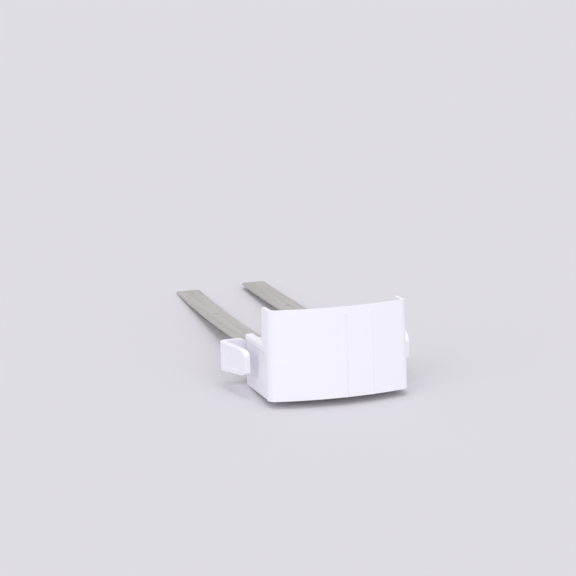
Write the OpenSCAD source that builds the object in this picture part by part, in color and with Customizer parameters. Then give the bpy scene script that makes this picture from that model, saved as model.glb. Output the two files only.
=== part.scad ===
// Squeeze-tab latch head with two flat spring blades.
// A curved front cover closes a moulded carrier. Two flat steel blades are clamped in the carrier
// and reach out behind it. A sprung squeeze tab turns on a steel pin at each side.
//
// Frame: X to the right, Y to the rear along the blades, Z up.
// The origin is the middle of the carrier's rear face, at the blades' mid-thickness.
// Inside the modules, y = 0 is the plane through the ends of the curved face and z = 0 the bottom edge.

/* [Front cover] */
// Width across the side walls
face_w = 78; // [66:1:100]
// Height of the front face
face_h = 48; // [40:1:64]
// How far the middle of the face bulges ahead of its ends
bulge = 5.6; // [3:0.2:10]
// Radius of the upright corners
corner_r = 5; // [3.5:0.5:8]
// Wall thickness of the cover
wall = 2.2; // [1.8:0.1:3]
// Depth of the short returns beside the upper face
return_depth = 12.7; // [9:0.1:18]
// Depth of the lower side walls
side_depth = 43; // [40:0.5:56]
// Height of the lower side walls
side_h = 28; // [27:0.5:34]
// Width of the flat ledge on top of the side walls
ledge_w = 4; // [3:0.5:6]
// Radius of the ledge's outer edge
ledge_r = 1; // [0.5:0.1:1.5]

/* [Face beads] */
// Distance of each raised bead from the middle of the face
bead_x = [1.9, 16.6]; // [0:0.1:30]
// Radius of a bead's round back
bead_r = 0.9; // [0.6:0.1:1.5]
// How far a bead stands out of the face
bead_out = 0.45; // [0.2:0.05:0.8]
// Plain rim left above the beads
bead_rim = 2.6; // [1:0.1:5]

/* [Side recess] */
// Depth of the shallow dish in each side wall
dish_depth = 0.7; // [0.3:0.1:1]
// Where the dish starts behind the face ends
dish_front = 3.4; // [2:0.2:8]
// Radius of the dish's front corners
dish_r = 9; // [5:0.5:10]
// Where the finger scoop starts behind the face ends
scoop_front = 21.6; // [19:0.2:26]
// Depth of the scoop at its front top corner, from which its floor slopes out to the rear and down
scoop_depth = 4.6; // [2:0.1:4.8]
// Radius of the scoop's front top corner
scoop_r = 9; // [4:0.5:9]

/* [Blades] */
// Distance of each blade's middle from the centre, where it leaves the carrier
blade_x = 25.1; // [22:0.1:28]
// Width of a blade
blade_w = 15; // [12:0.5:17]
// Thickness of a blade
blade_t = 1.4; // [1:0.1:2]
// Height of the blades' mid-thickness above the bottom edge
blade_z = 17.4; // [16.8:0.1:18.4]
// Free length of a blade behind the carrier
blade_reach = 188; // [120:1:260]
// How far the middle of the free length sags below its ends
blade_sag = 2.1; // [0.5:0.1:4]
// How far the right blade's tip stands above its root; the left one's is level
right_rise = 2.2; // [0:0.1:4]
// Inward turn of each blade, in degrees
toe_in = 1; // [0:0.1:2]
// Radius of the small fixing hole in each blade
blade_hole_r = 1.25; // [1:0.05:2]
// Distance of the fixing hole from the blade's tip
blade_hole_back = 70; // [30:1:100]
// Radius of the blade's tip corners
tip_r = 1.2; // [0.5:0.1:3]

/* [Squeeze tabs] */
// Height of the pad
pad_h = 15.6; // [14:0.2:17]
// Height of the pad's bottom edge above the bottom edge of the cover
pad_z = 9.4; // [8:0.2:10]
// Thickness of the pad and of the bend behind it
pad_t = 3.2; // [2.6:0.1:3.4]
// Length of the pad's straight leg
pad_len = 22.4; // [18:0.2:24]
// Inward slope of the pad towards its free end, in degrees
pad_slope = 14.5; // [6:0.5:16]
// Distance from the cover's side wall to the outer side of the bend
bend_out = 13.6; // [11:0.2:15]
// Outer radius of the two corners of the bend
bend_r = 4.6; // [4.2:0.2:5.4]
// Gap between the cover's rear edge and the bend
bend_gap = 1.4; // [1.2:0.1:2]
// Travel of a tab when it is squeezed, in degrees
tab_travel = 8; // [4:1:8]

/* [Pivots] */
// Radius of the pivot pins
pin_r = 1.25; // [1:0.05:1.5]
// Running clearance between a tab and its pin
pin_clear = 0.05; // [0.02:0.01:0.1]
// Radius of the tab's pivot boss
boss_r = 3.2; // [2.8:0.1:3.4]
// Distance from the rear edge of the side walls forward to the pivot
pivot_in = 5.5; // [5:0.5:8]

/* [Fasteners] */
// Thread radius of the blade screws
blade_screw_r = 1.5; // [1.25:0.25:1.5]
// Distances of the two blade screws in front of the carrier's rear face
blade_screw_in = [9.4, 22.4]; // [8:0.2:26]
// Thread radius of the self-cutting screws
plastic_screw_r = 1.3; // [1.1:0.1:1.5]

/* [Clearances] */
// Gap between the cover and the carrier inside it
case_gap = 0.4; // [0.3:0.1:0.6]
// Gap between a moving piece and the pieces beside it
move_gap = 0.4; // [0.3:0.1:0.6]
// Gap between a screw and the holes that it passes through
screw_gap = 0.2; // [0.1:0.05:0.4]

/* [Hidden] */
$fn = 64;
eps = 0.01;

half_w = face_w / 2;
inner_w = half_w - wall;
// Radius of the face, from its chord and its bulge
face_r = (half_w * half_w + bulge * bulge) / (2 * bulge);
face_cy = face_r - bulge;
corner_x = half_w - corner_r;
corner_y = face_cy - sqrt(pow(face_r - corner_r, 2) - pow(corner_x, 2));
// Where the corner's arc meets the face's arc
tangent_x = corner_x * face_r / (face_r - corner_r);

ledge_z = side_h - wall;
deck_gap = 0.3;
deck_top = ledge_z - deck_gap;
deck_t = 2.2;
deck_z = deck_top - deck_t;
// Half width of the deck, which reaches a little way under the ledges
deck_w = half_w - ledge_w + 0.2;
carrier_rear = side_depth + case_gap;
carrier_front = 9;
carrier_wall = 2.4;
rib_x = 16.4;
rib_t = 1.8;
// Top and underside of the bottom cover
floor_z = 3.2;
cover_z = 1;

blade_low = blade_z - blade_t / 2;
blade_high = blade_z + blade_t / 2;
blade_root = 28;
// Where the blade takes its full width, in front of the carrier's rear face
blade_neck = 3;
blade_pad_t = 1;
seat_w = 9.6;
seat_len = 22.6;
seat_in = 4.6;
clamp_t = 2;
clamp_w = 10.4;
insert_r = 2.1;
insert_len = 3.2;
head_r = 2.7;
head_t = 1.7;
// Width and depth of the cross recess in a screw head
cross_w = 0.7;
cross_depth = 0.9;
shank_below = 0.6;

pivot_x = inner_w - move_gap - boss_r;
pivot_y = side_depth - pivot_in;
// Radius of the carrier's upper pivot lug, clear of the blade's root beside it
lug_r = pivot_x - blade_x - clamp_w / 2 - (pivot_in + case_gap) * sin(toe_in) - move_gap;
// Top of the tab inside the cover, under the clamp plate
arm_top = blade_low - clamp_t - 0.5;
// Outer side of the tab's arm
arm_out = inner_w - move_gap - 1;
bend_y = side_depth + bend_gap + pad_t;
pad_top = pad_z + pad_h;
outer_corner_x = half_w + bend_out - bend_r;
inner_corner_x = arm_out - pad_t + bend_r;
corner_cy = bend_y - bend_r;
// Radius of the pad's free end, seen from above
pad_end_r = pad_t * 0.62;
panel_depth = 0.5;
// Rim left round the panel in the pad's outer face
panel_rim = 2.2;
// Half width of the carrier's lower rear wall, clear of a tab's boss and of its arm at full travel
rear_w = min(pivot_x - boss_r, arm_out - pad_t - (bend_y - pivot_y) * sin(tab_travel)) - move_gap;

// Radius of the wire
spring_wire = 0.35;
spring_gap = 0.35;
spring_r = pin_r + spring_gap + spring_wire;
spring_turns = 4;
spring_pitch = 2.3 * spring_wire;
spring_steps = 20;
spring_top = pad_z - 0.5 - spring_wire;
spring_low = spring_top - spring_turns * spring_pitch;
spring_front_leg = 7.5;
spring_rear_leg = 6;
// Post that the front leg presses on
spring_post_r = 1.4;
lug_top = spring_low - spring_wire - 0.2;
clip_sunk = 0.9;
clip_z = deck_top - clip_sunk;
clip_r = pin_r + 1.15;
clip_t = 0.4;
clip_mouth = 1.8;
groove_depth = 0.3;

cover_screw_x = 11;
cover_screw_z = [8, 19];
cover_post_r = 3.1;
cover_pilot = 8;
bottom_screw_x = 5.2;
bottom_screw_y = [16.5, 35.5];
bottom_post_r = 2.6;
bottom_pilot = 8;
// How far the heads of the bottom screws are let into the cover
head_in = 1.2;

module in_frame() { translate([0, -carrier_rear, -blade_z]) children(); }
// One side's pieces are drawn at the right; the left side is their mirror image
module on_side(side) { if (side < 0) mirror([1, 0, 0]) children(); else children(); }
// The blade, and what clamps it, turn together about the point where it leaves the carrier
module along_blade() {
    translate([blade_x, carrier_rear, 0]) rotate([0, 0, toe_in]) children();
}

// Outline of the cover in plan, moved inwards by inset
module plan(inset) {
    r = face_r - inset;
    c = corner_r - inset;
    difference() {
        intersection() {
            translate([0, face_cy]) circle(r, $fn = 360);
            translate([-half_w + inset, -bulge - 1]) square([2 * (half_w - inset), side_depth + bulge + 1]);
        }
        for (s = [-1, 1]) {
            x = tangent_x * (r / face_r);
            translate([s > 0 ? x : -half_w - 1, -bulge - 1]) square([half_w + 1 - x, corner_y + bulge + 1]);
        }
    }
    for (s = [-1, 1]) translate([s * corner_x, corner_y]) circle(c);
}

// The space inside the cover in plan, with the case gap all round
module inner_plan() {
    width = inner_w - case_gap;
    intersection() {
        plan(wall + case_gap);
        translate([-width, -bulge]) square([2 * width, side_depth + bulge]);
    }
    translate([-width, side_depth - wall - 1]) square([2 * width, carrier_rear - side_depth + wall + 1]);
}

// The deck in plan: a rectangle between the shoulders, and a front edge that follows the face
module deck_plan() {
    translate([-deck_w, corner_y]) square([2 * deck_w, carrier_rear - corner_y]);
    intersection() {
        translate([0, face_cy]) circle(face_r - wall - case_gap, $fn = 360);
        translate([-corner_x, -bulge]) square([2 * corner_x, corner_y + bulge + 1]);
    }
}

// Round-cornered shape of the dish, looking at the side wall; it runs out at the bottom edge
module dish_outline() {
    top = side_h - 2.4;
    translate([dish_front + dish_r, -1]) square([side_depth, top + 1]);
    translate([dish_front, -1]) square([dish_r + 1, top + 1 - dish_r]);
    translate([dish_front + dish_r, top - dish_r]) circle(dish_r);
}

// Space of the finger scoop in the right side wall, with a round-cornered front and a sloping floor
module scoop_space() {
    low = 4.4;
    top = 22.6;
    low_r = 7;
    // The floor comes out to the wall's outer side at the pivot, and well below the scoop
    slope_y = scoop_depth / (pivot_y - scoop_front);
    slope_z = scoop_depth / (top - low + 12);
    multmatrix([[1, slope_y, -slope_z, slope_z * top - slope_y * scoop_front],
                [0, 1, 0, 0],
                [0, 0, 1, 0]])
        from_side(half_w - scoop_depth, 2 * scoop_depth) {
            translate([scoop_front + scoop_r, low]) square([side_depth, top - low]);
            translate([scoop_front, low + low_r]) square([scoop_r + 1, top - low - low_r - scoop_r]);
            translate([scoop_front + low_r, low]) square([scoop_r, low_r + 1]);
            translate([scoop_front + low_r, low + low_r]) circle(low_r);
            translate([scoop_front + scoop_r, top - scoop_r]) circle(scoop_r);
        }
}

// Thicker wall behind the deep end of the scoop, clear of the tab's boss and of the deck
module scoop_backing() {
    back = 1.2;
    y = scoop_front - back;
    low = floor_z + case_gap;
    translate([inner_w + wall - scoop_depth - back, y, low])
        cube([scoop_depth + back - wall + 0.1, pivot_y - boss_r - move_gap - y, deck_z - case_gap - low]);
}

// Turns a side-view shape (y, z) into a solid that runs along X from x0 for len
module from_side(x0, len) {
    translate([x0, 0, 0]) rotate([90, 0, 90]) linear_extrude(len) children();
}

// The ledge on top of the right side wall, with a rounded outer edge
module ledge() {
    translate([half_w, side_depth, side_h]) rotate([90, 0, 0]) linear_extrude(side_depth - corner_y) {
        translate([-ledge_w, -wall]) square([ledge_w - ledge_r, wall]);
        translate([-ledge_r - eps, -wall]) square([ledge_r + eps, wall - ledge_r]);
        translate([-ledge_r, -ledge_r]) circle(ledge_r);
    }
}

module cover_boss(x, z) {
    face_y = face_cy - sqrt(pow(face_r - wall, 2) - x * x);
    translate([x, carrier_front, z]) rotate([90, 0, 0]) difference() {
        cylinder(carrier_front - face_y + 0.6, cover_post_r, cover_post_r);
        translate([0, 0, -eps]) cylinder(cover_pilot, plastic_screw_r, plastic_screw_r);
    }
}

module front_cover() color("white") in_frame() {
    difference() {
        union() {
            difference() {
                linear_extrude(face_h) plan(0);
                translate([0, 0, -eps]) linear_extrude(face_h + 1) plan(wall);
                // the side walls stop under the ledges behind the returns
                translate([-half_w - 1, return_depth, side_h - ledge_r])
                    cube([face_w + 2, side_depth, face_h]);
                // the plan is a closed ring, so its rear side is opened
                translate([-inner_w, side_depth - wall - 1, -eps]) cube([2 * inner_w, wall + 2, face_h]);
            }
            for (s = [-1, 1]) on_side(s) {
                ledge();
                scoop_backing();
            }
            for (x = [-cover_screw_x, cover_screw_x]) for (z = cover_screw_z) cover_boss(x, z);
            for (x = bead_x) {
                y = face_cy - sqrt(face_r * face_r - x * x) - bead_out + bead_r;
                translate([x, y, 0]) cylinder(face_h - bead_rim, bead_r, bead_r);
            }
        }
        for (s = [-1, 1]) on_side(s) {
            from_side(half_w - dish_depth, dish_depth + 1) dish_outline();
            scoop_space();
        }
    }
}

module carrier() color("gainsboro") in_frame() {
    difference() {
        union() {
            // deck under the shoulders, from the inside of the face to the rear
            translate([0, 0, deck_z]) linear_extrude(deck_t) deck_plan();
            // front and rear walls; the rear wall leaves room for the tabs' arms
            translate([-deck_w + 1, carrier_front, floor_z])
                cube([2 * deck_w - 2, carrier_wall, deck_z - floor_z + eps]);
            translate([-deck_w, carrier_rear - carrier_wall, blade_z])
                cube([2 * deck_w, carrier_wall, deck_z - blade_z + eps]);
            translate([-rear_w, carrier_rear - carrier_wall, floor_z])
                cube([2 * rear_w, carrier_wall, deck_z - floor_z + eps]);
            // two upright ribs beside the middle bay
            for (s = [-1, 1]) translate([s * rib_x - rib_t / 2, carrier_front, floor_z])
                cube([rib_t, carrier_rear - carrier_front, deck_z - floor_z + eps]);
            // posts for the bottom cover's screws
            for (s = [-1, 1]) for (y = bottom_screw_y) translate([s * bottom_screw_x, y, floor_z])
                cylinder(deck_z - floor_z + eps, bottom_post_r, bottom_post_r);
            for (s = [-1, 1]) on_side(s) {
                // upper pivot lug
                translate([pivot_x, pivot_y, arm_top + move_gap])
                    cylinder(deck_z - arm_top - move_gap + eps, lug_r, lug_r);
                // seat that the blade is clamped against
                along_blade() translate([-seat_w / 2, -seat_in - seat_len, blade_high + blade_pad_t])
                    cube([seat_w, seat_len, deck_z - blade_high - blade_pad_t + eps]);
            }
        }
        for (s = [-1, 1]) on_side(s) {
            translate([pivot_x, pivot_y, floor_z]) cylinder(face_h, pin_r, pin_r);
            // sunk seat for the pin's clip
            translate([pivot_x, pivot_y, clip_z]) cylinder(clip_sunk + 1, clip_r + 0.3, clip_r + 0.3);
            along_blade() {
                // slot for the blade
                translate([-blade_w / 2 - move_gap, -carrier_wall - 1, blade_low - move_gap])
                    cube([blade_w + 2 * move_gap + 3, carrier_wall + 2, blade_t + 2 * move_gap]);
                // pockets for the threaded inserts
                for (d = blade_screw_in) translate([0, -d, blade_high + blade_pad_t - eps])
                    cylinder(insert_len + eps, insert_r, insert_r);
            }
        }
        // screws to the front cover, and the holes that a driver reaches them through
        for (x = [-cover_screw_x, cover_screw_x]) for (z = cover_screw_z) {
            translate([x, carrier_front - 1, z]) rotate([-90, 0, 0])
                cylinder(carrier_wall + 2, plastic_screw_r + screw_gap, plastic_screw_r + screw_gap);
            translate([x, carrier_rear - carrier_wall - 1, z]) rotate([-90, 0, 0])
                cylinder(carrier_wall + 2, head_r + 0.4, head_r + 0.4);
        }
        for (s = [-1, 1]) for (y = bottom_screw_y) translate([s * bottom_screw_x, y, floor_z - 1])
            cylinder(bottom_pilot + 1, plastic_screw_r, plastic_screw_r);
    }
}

module bottom_cover() color("gainsboro") in_frame() {
    difference() {
        union() {
            translate([0, 0, cover_z]) linear_extrude(floor_z - cover_z) inner_plan();
            for (s = [-1, 1]) on_side(s) translate([pivot_x, pivot_y, cover_z])
                cylinder(lug_top - cover_z, boss_r, boss_r);
            // posts that the free leg of each tab spring rests on
            for (s = [-1, 1]) on_side(s)
                translate([pivot_x - spring_r - spring_post_r - 1, pivot_y - spring_front_leg - 0.5, cover_z])
                    cylinder(spring_low + 1 - cover_z, spring_post_r, spring_post_r);
        }
        for (s = [-1, 1]) on_side(s) translate([pivot_x, pivot_y, cover_z - 1])
            cylinder(face_h, pin_r, pin_r);
        for (s = [-1, 1]) for (y = bottom_screw_y) translate([s * bottom_screw_x, y, cover_z - 1]) {
            cylinder(floor_z, plastic_screw_r + screw_gap, plastic_screw_r + screw_gap);
            cylinder(1 + head_in, head_r + screw_gap, head_r + screw_gap);
        }
    }
}

// A piece of a flat ring, from angle a0 to angle a1
module ring_sector(r, t, a0, a1) {
    far = 2 * r;
    mid = (a0 + a1) / 2;
    intersection() {
        difference() {
            circle(r);
            circle(r - t);
        }
        polygon([[0, 0], far * [cos(a0), sin(a0)], far * [cos(mid), sin(mid)], far * [cos(a1), sin(a1)]]);
    }
}

// The bent tab in plan: pad, bend and the arm that reaches the pivot
module tab_plan() {
    translate([outer_corner_x, corner_cy]) {
        ring_sector(bend_r, pad_t, -pad_slope, 90);
        rotate(-pad_slope) {
            translate([bend_r - pad_t, -pad_len]) square([pad_t, pad_len + eps]);
            translate([bend_r - pad_end_r, -pad_len]) circle(pad_end_r);
        }
    }
    translate([inner_corner_x - eps, bend_y - pad_t])
        square([outer_corner_x - inner_corner_x + 2 * eps, pad_t]);
    translate([inner_corner_x, corner_cy]) ring_sector(bend_r, pad_t, 90, 180);
    translate([arm_out - pad_t, pivot_y]) square([pad_t, corner_cy - pivot_y + eps]);
}

// Heights of the tab, looking from the rear: full height outside, lower inside the cover
module tab_profile() {
    round_r = 6;
    edge_x = half_w + 2.5;
    translate([edge_x, pad_z]) square([bend_out, pad_h]);
    translate([edge_x, pad_top - round_r]) circle(round_r);
    translate([pivot_x - boss_r, pad_z]) square([edge_x - pivot_x + boss_r, arm_top - pad_z]);
    translate([edge_x - round_r, pad_z]) square([round_r, pad_top - round_r - pad_z]);
}

// Rounded outline of the pad, looking at it from the side
module pad_outline() {
    top_r = 6.5;
    low_r = 5;
    front = corner_cy - pad_len - pad_end_r - 1;
    translate([front + top_r, pad_z]) square([bend_y - front, pad_h]);
    translate([front + low_r, pad_z]) square([top_r, low_r + 1]);
    translate([front, pad_z + low_r]) square([top_r + 1, pad_h - low_r - top_r]);
    translate([front + low_r, pad_z + low_r]) circle(low_r);
    translate([front + top_r, pad_top - top_r]) circle(top_r);
}

module tab(side) color("white") in_frame() on_side(side) {
    difference() {
        union() {
            intersection() {
                translate([0, 0, pad_z]) linear_extrude(pad_h) tab_plan();
                translate([0, bend_y + 1, 0]) rotate([90, 0, 0]) linear_extrude(bend_y + 2) tab_profile();
                from_side(0, half_w + bend_out + 1) pad_outline();
            }
            translate([pivot_x, pivot_y, pad_z]) cylinder(arm_top - pad_z, boss_r, boss_r);
        }
        translate([pivot_x, pivot_y, pad_z - 1]) cylinder(face_h, pin_r + pin_clear, pin_r + pin_clear);
        // shallow panel in the pad's outer face
        translate([outer_corner_x, corner_cy, 0]) rotate([0, 0, -pad_slope]) {
            panel_r = 3.4;
            front = 3 - pad_len;
            panel_rear = 1.2;
            low = pad_z + panel_rim;
            high = pad_top - panel_rim;
            from_side(bend_r - panel_depth, 2) {
                translate([front + panel_r, low]) square([-front - panel_r - panel_rear, high - low]);
                translate([front, low + panel_r]) square([panel_r + 1, high - low - 2 * panel_r]);
                for (z = [low + panel_r, high - panel_r]) translate([front + panel_r, z]) circle(panel_r);
            }
        }
    }
}

module pivot_pin(side) color("silver") in_frame() on_side(side)
    translate([pivot_x, pivot_y, 0]) difference() {
        translate([0, 0, cover_z]) cylinder(deck_top - 0.1 - cover_z, pin_r, pin_r);
        // groove for the retaining clip
        translate([0, 0, clip_z]) difference() {
            cylinder(clip_t + 0.05, pin_r + 1, pin_r + 1);
            translate([0, 0, -1]) cylinder(2, pin_r - groove_depth, pin_r - groove_depth);
        }
    }

// Points of the tab spring's centre line: a leg, the coil and the second leg
function spring_path() = concat(
    [[spring_r, -spring_rear_leg, spring_low]],
    [for (i = [0 : spring_turns * spring_steps])
        let (turn = i / spring_steps)
        [spring_r * cos(turn * 360), spring_r * sin(turn * 360), spring_low + turn * spring_pitch]],
    [[spring_r, spring_front_leg, spring_top]]);
function unit(v) = v / norm(v);
function tangent(p, i) = unit(p[min(i + 1, len(p) - 1)] - p[max(i - 1, 0)]);
// Six points round the wire at one place of the path
function wire_ring(c, t) = let (u = unit(cross(t, [0, 0, 1])), v = cross(t, u))
    [for (k = [0 : 5]) c + spring_wire * (cos(k * 60) * u + sin(k * 60) * v)];

module tab_spring(side) color("silver") in_frame() on_side(side) translate([pivot_x, pivot_y, 0])
    rotate([0, 0, 180]) {
        path = spring_path();
        n = len(path);
        rings = [for (i = [0 : n - 1]) each wire_ring(path[i], tangent(path, i))];
        sides = [for (i = [0 : n - 2]) for (k = [0 : 5])
            [6 * i + k, 6 * i + (k + 1) % 6, 6 * i + 6 + (k + 1) % 6, 6 * i + 6 + k]];
        ends = [[for (k = [5 : -1 : 0]) k], [for (k = [0 : 5]) 6 * (n - 1) + k]];
        polyhedron(rings, concat(sides, ends), convexity = 8);
    }

module pin_clips() color("dimgray") in_frame() for (s = [-1, 1]) on_side(s)
    translate([pivot_x, pivot_y, clip_z]) linear_extrude(clip_t) difference() {
        circle(clip_r);
        circle(pin_r - groove_depth);
        translate([-clip_mouth / 2, -clip_r - 1]) square([clip_mouth, clip_r + 1]);
    }

// Side view of one blade: a straight root, then a free length that sags between its ends
module blade_side(rise) {
    sag_r = blade_reach * blade_reach / (8 * blade_sag) + blade_sag / 2;
    translate([-blade_root, blade_low]) square([blade_root + eps, blade_t]);
    translate([0, blade_z]) rotate(atan2(rise, blade_reach)) intersection() {
        translate([blade_reach / 2, sag_r - blade_sag]) difference() {
            circle(sag_r + blade_t / 2, $fn = 1440);
            circle(sag_r - blade_t / 2, $fn = 1440);
        }
        translate([-eps, -blade_sag - 4]) square([blade_reach + eps, blade_sag + 8]);
    }
}

// Plan of one blade: a narrower root that clears the pivot, and small corner radii at the tip
module blade_plan() {
    translate([-clamp_w / 2, -blade_root]) square([clamp_w, blade_root]);
    translate([-blade_w / 2, -blade_neck]) square([blade_w, blade_neck + blade_reach - tip_r]);
    translate([-blade_w / 2 + tip_r, blade_reach - tip_r - 1]) square([blade_w - 2 * tip_r, tip_r + 1]);
    for (s = [-1, 1]) translate([s * (blade_w / 2 - tip_r), blade_reach - tip_r]) circle(tip_r);
}

module blade(side) color("lightsteelblue") in_frame() on_side(side) along_blade() difference() {
    intersection() {
        from_side(-blade_w / 2, blade_w) blade_side(side > 0 ? right_rise : 0);
        linear_extrude(face_h) blade_plan();
    }
    for (d = blade_screw_in) translate([0, -d, 0])
        cylinder(face_h, blade_screw_r + screw_gap, blade_screw_r + screw_gap);
    translate([0, blade_reach - blade_hole_back, 0]) cylinder(face_h, blade_hole_r, blade_hole_r);
}

// A plate under or over the blade's root, with holes for the blade screws
module root_plate(width, low, thick, hole_r) {
    difference() {
        translate([-width / 2, -seat_in - seat_len, low]) cube([width, seat_len, thick]);
        for (d = blade_screw_in) translate([0, -d, low - 1]) cylinder(thick + 2, hole_r, hole_r);
    }
}

module blade_pad(side) color("dimgray") in_frame() on_side(side) along_blade()
    root_plate(seat_w, blade_high, blade_pad_t, blade_screw_r + screw_gap);

module clamp_plate(side) color("silver") in_frame() on_side(side) along_blade()
    root_plate(clamp_w, blade_low - clamp_t, clamp_t, blade_screw_r + screw_gap);

module blade_inserts() color("goldenrod") in_frame() for (s = [-1, 1]) on_side(s) along_blade()
    for (d = blade_screw_in) translate([0, -d, blade_high + blade_pad_t]) difference() {
        cylinder(insert_len - 0.1, insert_r, insert_r);
        translate([0, 0, -1]) cylinder(insert_len + 2, blade_screw_r, blade_screw_r);
    }

// A pan-head screw that points up, with a cross recess
module screw(r, len, recess) {
    difference() {
        union() {
            translate([0, 0, -head_t]) cylinder(head_t, head_r, head_r);
            cylinder(len, r, r);
        }
        for (a = [0, 90]) rotate([0, 0, a])
            translate([-recess / 2, -cross_w / 2, -head_t - 1]) cube([recess, cross_w, 1 + cross_depth]);
    }
}

module blade_screws() color("silver") in_frame() for (s = [-1, 1]) on_side(s) along_blade()
    for (d = blade_screw_in) translate([0, -d, blade_low - clamp_t])
        screw(blade_screw_r, clamp_t + blade_t + blade_pad_t + insert_len - shank_below, 3.2);

module cover_screws() color("silver") in_frame()
    for (x = [-cover_screw_x, cover_screw_x]) for (z = cover_screw_z)
        translate([x, carrier_front + carrier_wall, z]) rotate([90, 0, 0]) screw(plastic_screw_r, 9, 3);

module bottom_screws() color("silver") in_frame() for (s = [-1, 1]) for (y = bottom_screw_y)
    translate([s * bottom_screw_x, y, cover_z + head_in]) screw(plastic_screw_r, 8, 3);

front_cover();
carrier();
bottom_cover();
tab(-1);  // left_tab
tab(1);  // right_tab
pivot_pin(-1);  // left_pivot_pin
pivot_pin(1);  // right_pivot_pin
tab_spring(-1);  // left_tab_spring
tab_spring(1);  // right_tab_spring
pin_clips();
blade(-1);  // left_blade
blade(1);  // right_blade
blade_pad(-1);  // left_blade_pad
blade_pad(1);  // right_blade_pad
clamp_plate(-1);  // left_clamp_plate
clamp_plate(1);  // right_clamp_plate
blade_inserts();
blade_screws();
cover_screws();
bottom_screws();
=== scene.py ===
import math

import bmesh
import bpy
from bpy.props import FloatProperty, FloatVectorProperty, IntProperty, PointerProperty
from mathutils import Matrix, Vector


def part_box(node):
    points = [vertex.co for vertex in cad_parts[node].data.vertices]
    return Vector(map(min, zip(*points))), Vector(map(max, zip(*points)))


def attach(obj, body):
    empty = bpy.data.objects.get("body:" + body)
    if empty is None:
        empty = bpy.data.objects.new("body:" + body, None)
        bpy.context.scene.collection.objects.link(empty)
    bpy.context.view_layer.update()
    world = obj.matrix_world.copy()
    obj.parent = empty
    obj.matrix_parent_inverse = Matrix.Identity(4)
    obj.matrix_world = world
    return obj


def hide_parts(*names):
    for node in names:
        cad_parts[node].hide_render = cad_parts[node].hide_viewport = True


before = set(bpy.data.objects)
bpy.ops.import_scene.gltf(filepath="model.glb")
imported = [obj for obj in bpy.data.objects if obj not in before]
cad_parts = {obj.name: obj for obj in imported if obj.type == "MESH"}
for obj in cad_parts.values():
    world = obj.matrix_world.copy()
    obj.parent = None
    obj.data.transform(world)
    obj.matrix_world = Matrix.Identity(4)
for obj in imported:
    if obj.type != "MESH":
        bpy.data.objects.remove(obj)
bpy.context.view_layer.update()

bl_info = {
    "name": "Squeeze-tab latch head",
    "version": (1, 0, 0),
    "blender": (4, 5, 0),
    "location": "3D View > Sidebar > Latch",
    "description": "Builds a latch head with a curved cover, two sprung tabs and two flat steel blades",
    "category": "Object",
}

MM = 0.001
SIDES = (-1, 1)
SIDE_NAMES = {-1: "left", 1: "right"}
COVER_LOW, COVER_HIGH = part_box("front_cover")
PIN_LOW, PIN_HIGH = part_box("right_pivot_pin")
BLADE_LOW, BLADE_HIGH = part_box("right_blade")
TAB_LOW, TAB_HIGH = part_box("right_tab")

# An edge that turns by more than this is a real edge, and not a step of a curve
REAL_EDGE = math.radians(25)
# Largest distance between two points that are one point
SAME_POINT = 0.002 * MM


# ---------------------------------------------------------------- sizes and colours


def linear(code):
    """Linear colour of an sRGB hex code."""
    parts = [int(code[i : i + 2], 16) / 255 for i in (1, 3, 5)]
    return tuple(c / 12.92 if c <= 0.04045 else ((c + 0.055) / 1.055) ** 2.4 for c in parts)


def length(name, description, millimetres):
    """A length property whose default is given in millimetres."""
    return FloatProperty(
        name=name, description=description, default=millimetres * MM, min=0.0, precision=5, unit="LENGTH"
    )


def angle(name, description, degrees):
    """An angle property whose default is given in degrees."""
    return FloatProperty(name=name, description=description, default=math.radians(degrees), subtype="ANGLE")


def colour(name, description, code):
    """A colour property whose default is an sRGB hex code."""
    return FloatVectorProperty(
        name=name, description=description, default=linear(code), min=0.0, max=1.0, subtype="COLOR"
    )


class CoverSizes(bpy.types.PropertyGroup):
    """Sizes of the curved front cover"""

    width: length("Width", "Width across the side walls", (COVER_HIGH.x - COVER_LOW.x) / MM)
    height: length("Height", "Height of the front face", (COVER_HIGH.z - COVER_LOW.z) / MM)
    bulge: length("Bulge", "How far the face's middle stands ahead of its ends", 5.6)
    corner: length("Corner radius", "Radius of the upright corners", 5)
    wall: length("Wall", "Wall thickness", 2.2)
    returns: length("Return depth", "Depth of the returns beside the upper face", 12.7)
    side_depth: length("Side depth", "Depth of the lower side walls", 43)
    side_height: length("Side height", "Height of the lower side walls", 28)
    ledge: length("Ledge width", "Width of the flat ledge on top of the side walls", 4)
    ledge_edge: length("Ledge edge", "Radius of the ledge's outer edge", 1)
    edge: length("Edge radius", "Radius of the moulded edges", 0.45)
    draft: angle("Draft", "Inward lean of the side walls, for release from the mould", 1.2)
    lean: angle("Lean", "Backward lean of the face", 0.8)
    bead_height: length("Bead height", "Height of the two upright beads", 45.4)
    bead_radius: length("Bead radius", "Radius of a bead's round back", 0.9)
    bead_out: length("Bead relief", "How far a bead stands out of the face", 0.45)
    dish: length("Dish depth", "Depth of the shallow dish in each side wall", 0.6)
    dish_front: length("Dish start", "Distance of the dish behind the face ends", 3.4)
    dish_high: length("Dish top", "Height of the dish's upper edge", 25.6)
    dish_radius: length("Dish corner", "Radius of the dish's upper front corner", 9)
    scoop: length("Scoop depth", "Depth of the finger scoop at its front top corner", 4.6)
    scoop_front: length("Scoop start", "Distance of the finger scoop behind the face ends", 21.6)
    scoop_low: length("Scoop bottom", "Height of the scoop's lower edge", 4.4)
    scoop_high: length("Scoop top", "Height of the scoop's upper edge", 22.6)
    scoop_rear: length("Scoop end", "Where the scoop's floor comes out to the side wall", 37.5)
    scoop_radius: length("Scoop corner", "Radius of the scoop's upper front corner", 9)


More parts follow.
